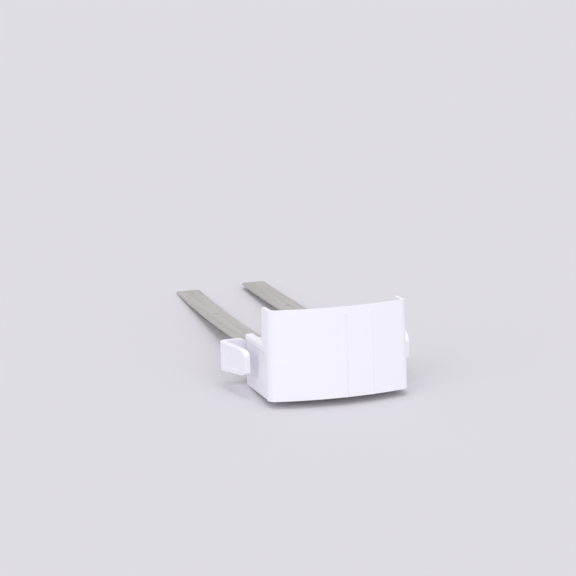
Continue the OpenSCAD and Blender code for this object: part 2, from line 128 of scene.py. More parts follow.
class TabSizes(bpy.types.PropertyGroup):
    """Sizes of the two squeeze tabs"""

    height: length("Pad height", "Height of the pad", (TAB_HIGH.z - TAB_LOW.z) / MM)
    thickness: length("Thickness", "Thickness of the pad and of the bend", 3.2)
    pad_length: length("Pad length", "Length of the pad from the bend to its free end", 24.38)
    slope: angle("Pad slope", "Inward slope of the pad towards its free end", 14.5)
    bend_out: length("Bend reach", "Distance of the bend's outer side from the side wall", 13.6)
    arm_gap: length("Arm gap", "Gap between the cover's wall and the arm inside it", 1.4)
    arm_height: length("Arm top", "Height of the arm's top above the cover's bottom edge", 14.2)
    boss: length("Boss radius", "Radius of the pivot boss", 3.2)
    bend_radius: length("Bend radius", "Outer radius of the bend's corners", 4.6)
    bar: length("Bar thickness", "Thickness of the bar that crosses behind the side wall", 3.2)
    fillet: length("Slot fillet", "Radius of the slot's closed end, between the pad and the bar", 1.2)
    taper: FloatProperty(
        name="Pad taper", description="Height at the free end over height at the bend",
        default=0.86, min=0.5, max=1.0, subtype="FACTOR",
    )
    panel: length("Panel depth", "Depth of the panel let into the pad", 0.5)
    rim: length("Panel rim", "Rim left over and under the panel", 2.2)
    panel_end: length("Panel end", "Distance of the panel from the pad's free end", 5)
    edge: length("Edge radius", "Radius of the moulded edges", 1.0)


class BladeSizes(bpy.types.PropertyGroup):
    """Sizes of the two flat spring blades"""

    width: length("Width", "Width of a blade", 15)
    thickness: length("Thickness", "Thickness of the strip", 1.4)
    reach: length("Reach", "Free length behind the head", 188)
    sag: length("Sag", "How far the middle of the free length sags", 2.1)
    rise: length("Right rise", "How far the right blade's tip stands above the left one's", 2.2)
    toe: angle("Toe-in", "Inward turn of each blade", 1)
    offset: length("Offset", "Distance of each blade from the middle", 25.1)
    hole: length("Hole radius", "Radius of the small fixing hole", 1.25)
    hole_back: length("Hole distance", "Distance of the fixing hole from the tip", 70)
    edge: length("Edge radius", "Radius that tumbling leaves on the sheared edges", 0.16)


class FinishColours(bpy.types.PropertyGroup):
    """Colours of the finishes"""

    cover: colour("Cover", "White of the cover and tabs", "#F9F8FE")
    inner: colour("Inner parts", "White of the parts inside", "#E9E7EA")
    steel: colour("Blade steel", "Colour of the blade strip", "#D8D3CF")
    plated: colour("Plated steel", "Colour of the pins, springs and screws", "#C9CBCE")
    brass: colour("Brass", "Colour of the threaded inserts", "#C9A24E")
    rubber: colour("Rubber", "Colour of the blade pads", "#2B2B2D")
    floor: colour("Floor", "Colour of the floor", "#D9D7DB")


class StageSizes(bpy.types.PropertyGroup):
    """The view of the object"""

    azimuth: angle("Azimuth", "Turn of the line of sight from straight ahead to the right", 17.489)
    elevation: angle("Elevation", "Height of the camera above the horizon", 10.566)
    roll: angle("Roll", "Roll of the camera about its own axis", -1.467)
    lens: FloatProperty(name="Lens", description="Focal length of the camera", default=112.5, min=1, unit="CAMERA")
    floor_low: length("Floor depth", "Distance of the floor under the blades' root", 17.3)
    floor_tilt: angle("Floor tilt", "Tilt of the floor to the head, which leans back on its blades", 5.07)
    floor_width: FloatProperty(name="Floor width", description="Width of the floor", default=9.0, unit="LENGTH")
    steps: IntProperty(name="Curve steps", description="Steps in a quarter turn of a curve", default=12, min=4)


# ---------------------------------------------------------------- making shapes


def head_origin(cover):
    """Where the middle of the cover's bottom edge lies, between the ends of the face."""
    return Vector((0, COVER_HIGH.y - cover.side_depth, COVER_LOW.z))


def draw_to(bm, end, place):
    """Draws a line from the end of a path to a place, and returns the new end."""
    new = bmesh.ops.extrude_vert_indiv(bm, verts=[end])["verts"][0]
    new.co = Vector(place)
    return new


def turn_about(bm, end, centre, sweep, steps):
    """Draws an arc from the end of a path, anticlockwise seen from above, and returns the new end."""
    made = bmesh.ops.spin(
        bm, geom=[end], cent=(*centre, end.co.z), axis=(0, 0, 1), angle=sweep, steps=steps, use_merge=False
    )
    return made["geom_last"][0]


def raise_path(bm, height):
    """Extrudes every line of a path straight up."""
    made = bmesh.ops.extrude_edge_only(bm, edges=bm.edges[:])
    top = [g for g in made["geom"] if isinstance(g, bmesh.types.BMVert)]
    bmesh.ops.translate(bm, verts=top, vec=(0, 0, height))


def outline_face(bm, points):
    """One flat face through a closed row of corners, in order."""
    return bm.faces.new([bm.verts.new(p) for p in points])


def round_corners(bm, verts, radius, steps=8):
    """Rounds corners of a flat outline."""
    bmesh.ops.bevel(
        bm, geom=verts, offset=radius, offset_type="OFFSET", segments=steps, profile=0.5,
        affect="VERTICES", material=-1,
    )


def thicken(bm, face_list, vector):
    """Extrudes flat faces along a vector into a closed solid."""
    made = bmesh.ops.extrude_face_region(bm, geom=face_list)
    moved = [g for g in made["geom"] if isinstance(g, bmesh.types.BMVert)]
    bmesh.ops.translate(bm, verts=moved, vec=vector)
    bmesh.ops.recalc_face_normals(bm, faces=bm.faces)


def side_plate(x0, x1, y, z, radii, steps=8):
    """A plate across X with the side view y by z. radii are those of its (y, z) corners, low front first."""
    bm = bmesh.new()
    places = [(y[0], z[0]), (y[1], z[0]), (y[1], z[1]), (y[0], z[1])]
    outline_face(bm, [(x0, *p) for p in places])
    corners = bm.verts[:]
    for corner, radius in zip(corners, radii):
        if radius > 0:
            round_corners(bm, [corner], radius, steps)
    thicken(bm, bm.faces[:], (x1 - x0, 0, 0))
    return bm


def mirrored(bm):
    """The mirror image of a shape across the middle plane."""
    copy = bm.copy()
    bmesh.ops.scale(copy, vec=(-1, 1, 1), verts=copy.verts)
    bmesh.ops.reverse_faces(copy, faces=copy.faces)
    return copy


def add_shape(bm, other):
    """Adds another shape's faces to bm, and frees the other."""
    mesh = bpy.data.meshes.new("part")
    other.to_mesh(mesh)
    other.free()
    bm.from_mesh(mesh)
    bpy.data.meshes.remove(mesh)
    return bm


def carve(bm, other, operation="DIFFERENCE"):
    """Cuts another solid out of bm, or joins it on, with an exact boolean, and frees the other."""
    objects = []
    for shape in (bm, other):
        mesh = bpy.data.meshes.new("stock")
        shape.to_mesh(mesh)
        shape.free()
        made = bpy.data.objects.new("stock", mesh)
        bpy.context.scene.collection.objects.link(made)
        objects.append(made)
    stock, tool = objects
    modifier = stock.modifiers.new("carve", "BOOLEAN")
    modifier.solver = "EXACT"
    modifier.operation = operation
    modifier.object = tool
    bpy.context.view_layer.update()
    graph = bpy.context.evaluated_depsgraph_get()
    result = bmesh.new()
    result.from_object(stock, graph)
    for made in objects:
        bpy.data.meshes.remove(made.data)
    bmesh.ops.remove_doubles(result, verts=result.verts, dist=SAME_POINT)
    if not result.faces:
        raise RuntimeError("a boolean left nothing of the piece")
    return result


def clean_flats(bm, limit=math.radians(0.12)):
    """Joins the loose triangles of each flat side into one face."""
    bmesh.ops.remove_doubles(bm, verts=bm.verts, dist=SAME_POINT)
    bmesh.ops.dissolve_limit(
        bm, angle_limit=limit, use_dissolve_boundaries=False, verts=bm.verts, edges=bm.edges, delimit=set()
    )


def soften(bm, radius, where=None, segments=3, limit=REAL_EDGE, only_outer=True):
    """Rounds the real edges. where picks them by their middle point, and only_outer leaves inner corners."""
    picked = []
    for edge in bm.edges:
        if len(edge.link_faces) != 2:
            continue
        turn = edge.calc_face_angle_signed(0)
        if (turn if only_outer else abs(turn)) < limit:
            continue
        middle = (edge.verts[0].co + edge.verts[1].co) / 2
        if where is None or where(middle, edge):
            picked.append(edge)
    if picked:
        bmesh.ops.bevel(
            bm, geom=picked, offset=radius, offset_type="OFFSET", segments=segments, profile=0.5,
            affect="EDGES", clamp_overlap=True, material=-1, loop_slide=True,
        )


def turned(profile, steps=32):
    """A solid turned about the Z axis from (radius, height) points that start and end on the axis."""
    bm = bmesh.new()
    end = bm.verts.new((profile[0][0], 0, profile[0][1]))
    for radius, height in profile[1:]:
        end = draw_to(bm, end, (radius, 0, height))
    bmesh.ops.spin(
        bm, geom=bm.verts[:] + bm.edges[:], cent=(0, 0, 0), axis=(0, 0, 1), angle=math.tau,
        steps=steps, use_merge=True,
    )
    bmesh.ops.remove_doubles(bm, verts=bm.verts, dist=SAME_POINT)
    bmesh.ops.recalc_face_normals(bm, faces=bm.faces)
    return bm


def place(bm, matrix):
    """Moves a shape by a matrix."""
    bmesh.ops.transform(bm, matrix=matrix, verts=bm.verts)
    return bm


def make_piece(name, bm, material, body, nodes):
    """Turns a shape into a finished piece that rides on a body and stands for CAD nodes."""
    mesh = bpy.data.meshes.new(name)
    for face in bm.faces:
        face.smooth = True
    for edge in bm.edges:
        edge.smooth = not (len(edge.link_faces) == 2 and edge.calc_face_angle(0) > REAL_EDGE)
    bm.to_mesh(mesh)
    bm.free()
    piece = bpy.data.objects.new(name, mesh)
    bpy.context.scene.collection.objects.link(piece)
    mesh.materials.append(material)
    weighted = piece.modifiers.new("even shading", "WEIGHTED_NORMAL")
    weighted.keep_sharp = True
    weighted.weight = 80
    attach(piece, body)
    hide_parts(*nodes)
    return piece


def softened_copy(node, radius):
    """A merged copy of a CAD node's mesh, in its place, with its sharp edges rounded."""
    bm = bmesh.new()
    bm.from_mesh(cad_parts[node].data)
    bmesh.ops.remove_doubles(bm, verts=bm.verts, dist=SAME_POINT)
    clean_flats(bm)
    soften(bm, radius, segments=2)
    return bm


# ---------------------------------------------------------------- finishes


def add(tree, kind, inputs, **settings):
    """Adds one node with its settings. A socket given as an input is linked, and a value is set."""
    node = tree.nodes.new(kind)
    for key, value in settings.items():
        setattr(node, key, value)
    for key, value in inputs.items():
        if isinstance(value, bpy.types.NodeSocket):
            tree.links.new(value, node.inputs[key])
        else:
            node.inputs[key].default_value = value
    return node


def new_finish(name):
    """An empty node material, with its tree, its shader and its object coordinates."""
    material = bpy.data.materials.get(name)
    if material:
        return material, None, None, None
    material = bpy.data.materials.new(name)
    material.use_nodes = True
    tree = material.node_tree
    shader = tree.nodes["Principled BSDF"]
    where = add(tree, "ShaderNodeTexCoord", {}).outputs["Object"]
    return material, tree, shader, where


def rgba(rgb, scale=1.0):
    """A colour scaled in brightness, with alpha."""
    return (*(min(1.0, c * scale) for c in rgb), 1.0)


def moulded_abs(name, rgb, roughness, grain_mm, grain_depth_mm, coat):
    """ABS, injection moulded in a polished or finely blasted tool.

    The tool's polish gives a soft broad highlight with a slight shine on top. Slow flow and cooling
    leave a very faint unevenness in tone and gloss, a few centimetres across, and the blasting leaves
    a fine grain that only shows in the highlights.
    """
    material, tree, shader, where = new_finish(name)
    if tree is None:
        return material
    flow = add(tree, "ShaderNodeTexNoise", {"Vector": where, "Scale": 1 / (30 * MM), "Detail": 2.0})
    tone = add(
        tree, "ShaderNodeMix",
        {"Factor": flow.outputs["Fac"], "A": rgba(rgb, 0.985), "B": rgba(rgb, 1.0)}, data_type="RGBA",
    )
    grain = add(
        tree, "ShaderNodeTexNoise",
        {"Vector": where, "Scale": 1 / (grain_mm * MM), "Detail": 2.0, "Roughness": 0.5},
    )
    gloss = add(
        tree, "ShaderNodeMapRange",
        {"Value": flow.outputs["Fac"], "To Min": roughness - 0.03, "To Max": roughness + 0.03},
    )
    bump = add(
        tree, "ShaderNodeBump",
        {"Height": grain.outputs["Fac"], "Strength": 0.6, "Distance": grain_depth_mm * MM},
    )
    tree.links.new(tone.outputs["Result"], shader.inputs["Base Color"])
    tree.links.new(gloss.outputs["Result"], shader.inputs["Roughness"])
    tree.links.new(bump.outputs["Normal"], shader.inputs["Normal"])
    shader.inputs["IOR"].default_value = 1.54
    shader.inputs["Coat Weight"].default_value = coat
    shader.inputs["Coat Roughness"].default_value = 0.18
    return material


def rolled_stainless(rgb):
    """Stainless spring strip, cold rolled and slit, then tumbled.

    Rolling leaves long fine streaks along the strip, with broader bands of slightly different gloss,
    and tumbling turns the shine into a warm satin grey. Handling leaves faint darker marks.
    """
    material, tree, shader, where = new_finish("rolled_stainless_strip")
    if tree is None:
        return material
    # Streaks 0.35 mm apart and about 40 mm long; the real ones are finer and would not show
    streak_space = add(
        tree, "ShaderNodeMapping", {"Vector": where, "Scale": (1 / (0.35 * MM), 1 / (40 * MM), 1 / (0.35 * MM))}
    )
    streaks = add(
        tree, "ShaderNodeTexNoise", {"Vector": streak_space.outputs["Vector"], "Scale": 1.0, "Detail": 3.0}
    )
    # Bands about 4 mm wide and 150 mm long
    band_space = add(
        tree, "ShaderNodeMapping", {"Vector": where, "Scale": (1 / (4 * MM), 1 / (150 * MM), 1 / (4 * MM))}
    )
    bands = add(tree, "ShaderNodeTexNoise", {"Vector": band_space.outputs["Vector"], "Scale": 1.0, "Detail": 1.0})
    marks = add(tree, "ShaderNodeTexNoise", {"Vector": where, "Scale": 1 / (12 * MM), "Detail": 4.0})
    tone = add(
        tree, "ShaderNodeMapRange",
        {"Value": streaks.outputs["Fac"], "From Min": 0.3, "From Max": 0.7, "To Min": 0.9, "To Max": 1.0},
    )
    band_tone = add(
        tree, "ShaderNodeMapRange",
        {"Value": bands.outputs["Fac"], "From Min": 0.35, "From Max": 0.65, "To Min": 0.88, "To Max": 1.0},
    )
    both = add(
        tree, "ShaderNodeMath", {0: tone.outputs["Result"], 1: band_tone.outputs["Result"]}, operation="MULTIPLY"
    )
    metal = add(
        tree, "ShaderNodeMix",
        {"Factor": both.outputs["Value"], "A": (0.0, 0.0, 0.0, 1.0), "B": rgba(rgb)}, data_type="RGBA",
    )
    gloss = add(
        tree, "ShaderNodeMapRange",
        {"Value": marks.outputs["Fac"], "From Min": 0.3, "From Max": 0.7, "To Min": 0.34, "To Max": 0.46},
    )
    bump = add(
        tree, "ShaderNodeBump", {"Height": streaks.outputs["Fac"], "Strength": 0.4, "Distance": 0.004 * MM}
    )
    tree.links.new(metal.outputs["Result"], shader.inputs["Base Color"])
    tree.links.new(gloss.outputs["Result"], shader.inputs["Roughness"])
    tree.links.new(bump.outputs["Normal"], shader.inputs["Normal"])
    shader.inputs["Metallic"].default_value = 1.0
    return material


def plain_metal(name, rgb, roughness, grain_mm):
    """Small metal parts: turned, stamped or coiled, then plated.

    The plating is even and bright, and the fine marks of turning or stamping under it break up the
    highlight a little.
    """
    material, tree, shader, where = new_finish(name)
    if tree is None:
        return material
    grain = add(tree, "ShaderNodeTexNoise", {"Vector": where, "Scale": 1 / (grain_mm * MM), "Detail": 3.0})
    tone = add(
        tree, "ShaderNodeMix",
        {"Factor": grain.outputs["Fac"], "A": rgba(rgb, 0.9), "B": rgba(rgb)}, data_type="RGBA",
    )
    gloss = add(
        tree, "ShaderNodeMapRange",
        {"Value": grain.outputs["Fac"], "To Min": roughness - 0.06, "To Max": roughness + 0.06},
    )
    bump = add(
        tree, "ShaderNodeBump", {"Height": grain.outputs["Fac"], "Strength": 0.3, "Distance": 0.005 * MM}
    )
    tree.links.new(tone.outputs["Result"], shader.inputs["Base Color"])
    tree.links.new(gloss.outputs["Result"], shader.inputs["Roughness"])
    tree.links.new(bump.outputs["Normal"], shader.inputs["Normal"])
    shader.inputs["Metallic"].default_value = 1.0
    return material


def pressed_rubber(rgb):
    """Nitrile rubber sheet, calendered and die cut. A dull, dry black with a fine dusty grain."""
    material, tree, shader, where = new_finish("die_cut_rubber_sheet")
    if tree is None:
        return material
    grain = add(tree, "ShaderNodeTexNoise", {"Vector": where, "Scale": 1 / (0.4 * MM), "Detail": 3.0})
    tone = add(
        tree, "ShaderNodeMix",
        {"Factor": grain.outputs["Fac"], "A": rgba(rgb, 0.8), "B": rgba(rgb, 1.3)}, data_type="RGBA",
    )
    bump = add(tree, "ShaderNodeBump", {"Height": grain.outputs["Fac"], "Strength": 0.5, "Distance": 0.02 * MM})
    tree.links.new(tone.outputs["Result"], shader.inputs["Base Color"])
    tree.links.new(bump.outputs["Normal"], shader.inputs["Normal"])
    shader.inputs["Roughness"].default_value = 0.85
    shader.inputs["IOR"].default_value = 1.52
    return material


def paper_sweep(rgb):
    """Seamless studio paper. Matt and even, with a very faint mottle and no shine."""
    material, tree, shader, where = new_finish("studio_paper")
    if tree is None:
        return material
    mottle = add(tree, "ShaderNodeTexNoise", {"Vector": where, "Scale": 1 / (250 * MM), "Detail": 2.0})
    tone = add(
        tree, "ShaderNodeMix",
        {"Factor": mottle.outputs["Fac"], "A": rgba(rgb, 0.985), "B": rgba(rgb, 1.01)}, data_type="RGBA",
    )
    tree.links.new(tone.outputs["Result"], shader.inputs["Base Color"])
    shader.inputs["Roughness"].default_value = 0.95
    shader.inputs["Specular IOR Level"].default_value = 0.15
    return material


def finishes(colours):
    """The finishes of the object, by a short name. Each is made once."""
    return {
        "cover": moulded_abs("polished_moulded_abs", colours.cover, 0.34, 0.5, 0.004, 0.25),
        "tab": moulded_abs("satin_moulded_abs", colours.cover, 0.42, 0.4, 0.006, 0.1),
        "inner": moulded_abs("matt_moulded_abs", colours.inner, 0.55, 0.35, 0.015, 0.0),
        "blade": rolled_stainless(colours.steel),
        "plated": plain_metal("zinc_plated_steel", colours.plated, 0.3, 0.3),
        "spring": plain_metal("spring_wire_steel", colours.plated, 0.24, 0.2),
        "clip": plain_metal("blackened_spring_steel", [c * 0.25 for c in colours.plated], 0.45, 0.3),
        "brass": plain_metal("turned_brass", colours.brass, 0.3, 0.25),
        "rubber": pressed_rubber(colours.rubber),
    }


# ---------------------------------------------------------------- front cover


def cover_shell(s, steps):
    """The curved face, its corners and the side walls, as one open wall before it gets its thickness."""
    half = s.width / 2
    face_radius = (half * half + s.bulge * s.bulge) / (2 * s.bulge)
    face_middle = face_radius - s.bulge
    corner_x = half - s.corner
    corner_y = face_middle - math.sqrt((face_radius - s.corner) ** 2 - corner_x**2)
    lead = math.atan2(corner_x, face_middle - corner_y)
    bm = bmesh.new()
    end = bm.verts.new((-half, s.side_depth, 0))
    end = draw_to(bm, end, (-half, corner_y, 0))
    end = turn_about(bm, end, (-corner_x, corner_y), math.pi / 2 - lead, steps)
    end = turn_about(bm, end, (0, face_middle), 2 * lead, 6 * steps)
    end = turn_about(bm, end, (corner_x, corner_y), math.pi / 2 - lead, steps)
    draw_to(bm, end, (half, s.side_depth, 0))
    raise_path(bm, s.height)
    return bm, corner_y, face_radius, face_middle


def cut_sides_down(bm, s):
    """Takes away the wall above the ledges, behind the two short returns."""
    top = s.side_height - s.ledge_edge
    for point, normal in (((0, 0, top), (0, 0, 1)), ((0, s.returns, 0), (0, 1, 0))):
        bmesh.ops.bisect_plane(
            bm, geom=bm.verts[:] + bm.edges[:] + bm.faces[:], dist=SAME_POINT, plane_co=point, plane_no=normal
        )
    gone = []
    for face in bm.faces:
        middle = face.calc_center_median()
        if middle.z > top and middle.y > s.returns:
            gone.append(face)
    bmesh.ops.delete(bm, geom=gone, context="FACES")


def box_between(low, high):
    """A box between two corners."""
    bm = bmesh.new()
    bmesh.ops.create_cube(bm, size=1.0)
    size = Vector(high) - Vector(low)
    return place(bm, Matrix.Translation((Vector(high) + Vector(low)) / 2) @ Matrix.Diagonal((*size, 1)))


def ledge(s, start, steps):
    """The flat ledge on top of the right side wall, with its outer edge rounded."""
    half = s.width / 2
    bm = box_between(
        (half - s.ledge, start, s.side_height - s.wall), (half, s.side_depth, s.side_height)
    )
    edge_x = half - SAME_POINT
    edge_z = s.side_height - SAME_POINT
    soften(
        bm, s.ledge_edge, segments=steps // 2,
        where=lambda middle, edge: middle.x > edge_x and middle.z > edge_z,
    )
    return bm


def finger_scoop(s, steps):
    """Space of the right finger scoop: a round-cornered front, and a floor that slopes out and down."""
    half = s.width / 2
    low_radius, floor_radius, beyond, fade = 7 * MM, 0.8 * MM, 2 * MM, 12 * MM
    bm = side_plate(
        half - s.scoop, half + s.scoop, (s.scoop_front, s.side_depth + beyond), (s.scoop_low, s.scoop_high),
        (low_radius, 0, 0, s.scoop_radius), steps,
    )
    floor_x = half - s.scoop + SAME_POINT
    soften(bm, floor_radius, where=lambda m, e: max(v.co.x for v in e.verts) < floor_x, segments=5)
    along = s.scoop / (s.scoop_rear - s.scoop_front)
    down = s.scoop / (s.scoop_high - s.scoop_low + fade)
    for vert in bm.verts:
        vert.co.x += along * (vert.co.y - s.scoop_front) + down * (s.scoop_high - vert.co.z)
    return bm


def face_bead(s, x, face_radius, face_middle):
    """A thin upright bead, rounded over at its top."""
    bm = bmesh.new()
    bmesh.ops.create_cone(
        bm, cap_ends=True, segments=24, radius1=s.bead_radius, radius2=s.bead_radius, depth=s.bead_height
    )
    bmesh.ops.recalc_face_normals(bm, faces=bm.faces)
    soften(bm, 0.6 * s.bead_radius, where=lambda middle, edge: middle.z > 0, segments=4)
    y = face_middle - math.sqrt(face_radius**2 - x * x) - s.bead_out + s.bead_radius
    return place(bm, Matrix.Translation((x, y, s.bead_height / 2)))


def lean_and_draft(bm, s, start, depth):
    """Leans the face back and the side walls in. The lean fades out towards the rear."""
    half = s.width / 2
    for vert in bm.verts:
        height = vert.co.z
        fade = 1 - min(1.0, max(0.0, (vert.co.y - start) / (depth - start)))
        vert.co.x *= 1 - height * math.tan(s.draft) / half
        vert.co.y += height * math.tan(s.lean) * fade


class LATCH_OT_front_cover(bpy.types.Operator):
    """Build the curved front cover with its beads, ledges, dishes and finger scoops"""

    bl_idname = "latch.front_cover"
    bl_label = "Front cover"

    def execute(self, context):
        """Builds the cover in the head's own place and adds the shapes that stand on it."""
        s = context.scene.latch_cover
        steps = context.scene.latch_stage.steps
        half = s.width / 2
        bm, corner_y, face_radius, face_middle = cover_shell(s, steps)
        cut_sides_down(bm, s)
        bmesh.ops.recalc_face_normals(bm, faces=bm.faces)
        if sum(f.normal.y for f in bm.faces if f.calc_center_median().y < corner_y) > 0:
            bmesh.ops.reverse_faces(bm, faces=bm.faces)
        bmesh.ops.solidify(bm, geom=bm.faces[:], thickness=s.wall)
        bmesh.ops.recalc_face_normals(bm, faces=bm.faces)
        for side in SIDES:
            top = ledge(s, corner_y, steps)
            bm = carve(bm, top if side > 0 else flipped(top), "UNION")
            # A thicker wall behind the deep end of the scoop
            back = 1.2 * MM
            backing = box_between(
                (half - s.scoop - back, s.scoop_front - back, 3.6 * MM),
                (half - s.wall + 0.1 * MM, 33.9 * MM, 22.9 * MM),
            )
            bm = carve(bm, backing if side > 0 else flipped(backing), "UNION")
            dish = side_plate(
                half - s.dish, half + 3 * MM, (s.dish_front, s.side_depth + 4 * MM), (-4 * MM, s.dish_high),
                (0, 0, 0, s.dish_radius), steps,
            )
            floor_x = half - s.dish + SAME_POINT
            soften(dish, 2.2 * MM, where=lambda m, e: max(v.co.x for v in e.verts) < floor_x, segments=5)
            for cutter in (dish, finger_scoop(s, steps)):
                bm = carve(bm, cutter if side > 0 else flipped(cutter))
        clean_flats(bm)
        soften(bm, s.edge)
        lean_and_draft(bm, s, corner_y, s.side_depth)
        for x in (1.9 * MM, 16.6 * MM):
            bead = face_bead(s, x, face_radius, face_middle)
            lean_and_draft(bead, s, corner_y, s.side_depth)
            add_shape(bm, bead)
        place(bm, Matrix.Translation(head_origin(s)))
        look = finishes(context.scene.latch_colours)["cover"]
        make_piece("curved_front_cover", bm, look, "head", ["front_cover"])
        return {"FINISHED"}


def flipped(bm):
    """Mirrors a shape across the middle plane and frees the original."""
    copy = mirrored(bm)
    bm.free()
    return copy


# ---------------------------------------------------------------- moulded inner parts


class LATCH_OT_inner_mouldings(bpy.types.Operator):
    """Build the carrier and the bottom cover with moulded edges"""

    bl_idname = "latch.inner_mouldings"
    bl_label = "Carrier and bottom cover"

    def execute(self, context):
        """Rounds the edges of both mouldings."""
        look = finishes(context.scene.latch_colours)["inner"]
        for node, name in (("carrier", "carrier_moulding"), ("bottom_cover", "bottom_cover_moulding")):
            make_piece(name, softened_copy(node, 0.2 * MM), look, "head", [node])
        return {"FINISHED"}


# ---------------------------------------------------------------- squeeze tabs


def tab_blank(t, s, steps):
    """The right tab in plan at full height: pad, thick bend and arm, as one closed outline raised up."""
    half = s.width / 2
    low = TAB_LOW.z - head_origin(s).z
    rear = TAB_HIGH.y - head_origin(s).y
    outer = Vector((half + t.bend_out - t.bend_radius, rear - t.bend_radius, low))
    arm = half - s.wall - t.arm_gap - t.thickness
    inner = Vector((arm + t.bend_radius, outer.y, low))
    pivot_y = (PIN_LOW.y + PIN_HIGH.y) / 2 - head_origin(s).y
    slope = Matrix.Rotation(-t.slope, 3, "Z")
    inside = t.bend_radius - t.thickness
    bar_front = rear - t.bar
    # Outer side, from the pad's free end round to the arm's end
    bm = bmesh.new()
    first = bm.verts.new(outer + slope @ Vector((t.bend_radius, -t.pad_length, 0)))
    end = draw_to(bm, first, outer + slope @ Vector((t.bend_radius, 0, 0)))
    end = turn_about(bm, end, outer.xy, math.pi / 2 + t.slope, steps)
    end = draw_to(bm, end, (inner.x, rear, low))
    end = turn_about(bm, end, inner.xy, math.pi / 2, steps)
    end = draw_to(bm, end, (arm, pivot_y, low))
    # Inner side, back along the arm, the bar and the pad
    end = draw_to(bm, end, (arm + t.thickness, pivot_y, low))
    end = draw_to(bm, end, (arm + t.thickness, bar_front, low))
    end = draw_to(bm, end, (outer.x + inside - t.fillet, bar_front, low))
    end = turn_about(bm, end, (outer.x + inside - t.fillet, bar_front - t.fillet), -math.pi / 2, steps // 2)
    end = draw_to(bm, end, outer + slope @ Vector((inside, 0, 0)))
    end = draw_to(bm, end, outer + slope @ Vector((inside, -t.pad_length, 0)))
    bm.edges.new((end, first))
    bmesh.ops.remove_doubles(bm, verts=bm.verts, dist=SAME_POINT)
    bmesh.ops.contextual_create(bm, geom=bm.edges[:])
    thicken(bm, bm.faces[:], (0, 0, t.height))
    return bm, outer


class LATCH_OT_tabs(bpy.types.Operator):
    """Build the two squeeze tabs, each with its pad, bend, arm and pivot boss"""

    bl_idname = "latch.tabs"
    bl_label = "Squeeze tabs"

    def execute(self, context):
        """Builds the right tab and mirrors it for the left."""
        s = context.scene.latch_cover
        t = context.scene.latch_tabs
        steps = context.scene.latch_stage.steps
        look = finishes(context.scene.latch_colours)["tab"]
        for side in SIDES:
            bm = one_tab(s, t, steps)
            if side < 0:
                bm = flipped(bm)
            place(bm, Matrix.Translation(head_origin(s)))
            body = SIDE_NAMES[side] + "_tab"
            make_piece(SIDE_NAMES[side] + "_squeeze_tab", bm, look, body, [body])
        return {"FINISHED"}


def one_tab(s, t, steps):
    """The right tab, before it is put in its place."""
    origin = head_origin(s)
    half = s.width / 2
    bm, corner = tab_blank(t, s, steps)
    low = TAB_LOW.z - origin.z
    high = TAB_HIGH.z - origin.z
    rear = TAB_HIGH.y - origin.y
    # Heights along the bend: full outside the cover, low inside it
    arm_top = t.arm_height
    shelf = half - 3.5 * MM
    profile = bmesh.new()
    outline_face(
        profile,
        [
            (half + 20 * MM, 0, low), (half + 20 * MM, 0, high), (shelf, 0, high),
            (shelf, 0, arm_top), (shelf - 8 * MM, 0, arm_top), (shelf - 8 * MM, 0, low),
        ],
    )
    corners = profile.verts[:]
    round_corners(profile, [corners[2]], 6 * MM, steps)
    thicken(profile, profile.faces[:], (0, rear + 1 * MM, 0))
    bm = carve(bm, profile, "INTERSECT")
    front = corner.y - t.pad_length - 1 * MM
    side_view = side_plate(
        0, half + 20 * MM, (front, rear + 1 * MM), (low, high), (5 * MM, 0, 0, 6.5 * MM), steps
    )
    bm = carve(bm, side_view, "INTERSECT")
    clean_flats(bm)
    soften(bm, t.edge, segments=4)
    # The panel let into the pad's outer face
    panel = side_plate(
        t.bend_radius - t.panel, t.bend_radius + 2 * MM, (t.panel_end - t.pad_length, -1.2 * MM),
        (low + t.rim, high - t.rim), (3.4 * MM, 0.8 * MM, 0.8 * MM, 3.4 * MM), steps,
    )
    place(panel, Matrix.Translation((corner.x, corner.y, 0)) @ Matrix.Rotation(-t.slope, 4, "Z"))
    bm = carve(bm, panel)
    soften(
        bm, 0.3 * MM, segments=2,
        where=lambda m, e: m.x > half + 3 * MM and corner.y - t.pad_length < m.y < corner.y,
    )
    for vert in bm.verts:
        share = min(1.0, max(0.0, (corner.y - vert.co.y) / t.pad_length)) if vert.co.x > half else 0.0
        middle = (low + high) / 2
        vert.co.z = middle + (vert.co.z - middle) * (1 - (1 - t.taper) * share)
    pin = (PIN_LOW + PIN_HIGH) / 2 - origin
    boss = turned(
        [
            (0, low), (2.9 * MM, low), (3.2 * MM, low + 0.3 * MM),
            (3.2 * MM, arm_top - 0.3 * MM), (2.9 * MM, arm_top), (0, arm_top),
        ],
        4 * steps,
    )
    bore = turned([(0, 0), (1.3 * MM, 0), (1.3 * MM, 2 * arm_top), (0, 2 * arm_top)], 2 * steps)
    place(bore, Matrix.Translation((pin.x, pin.y, 0)))
    place(boss, Matrix.Translation((pin.x, pin.y, 0)))
    bm = carve(bm, boss, "UNION")
    return carve(bm, bore)


# ---------------------------------------------------------------- blades


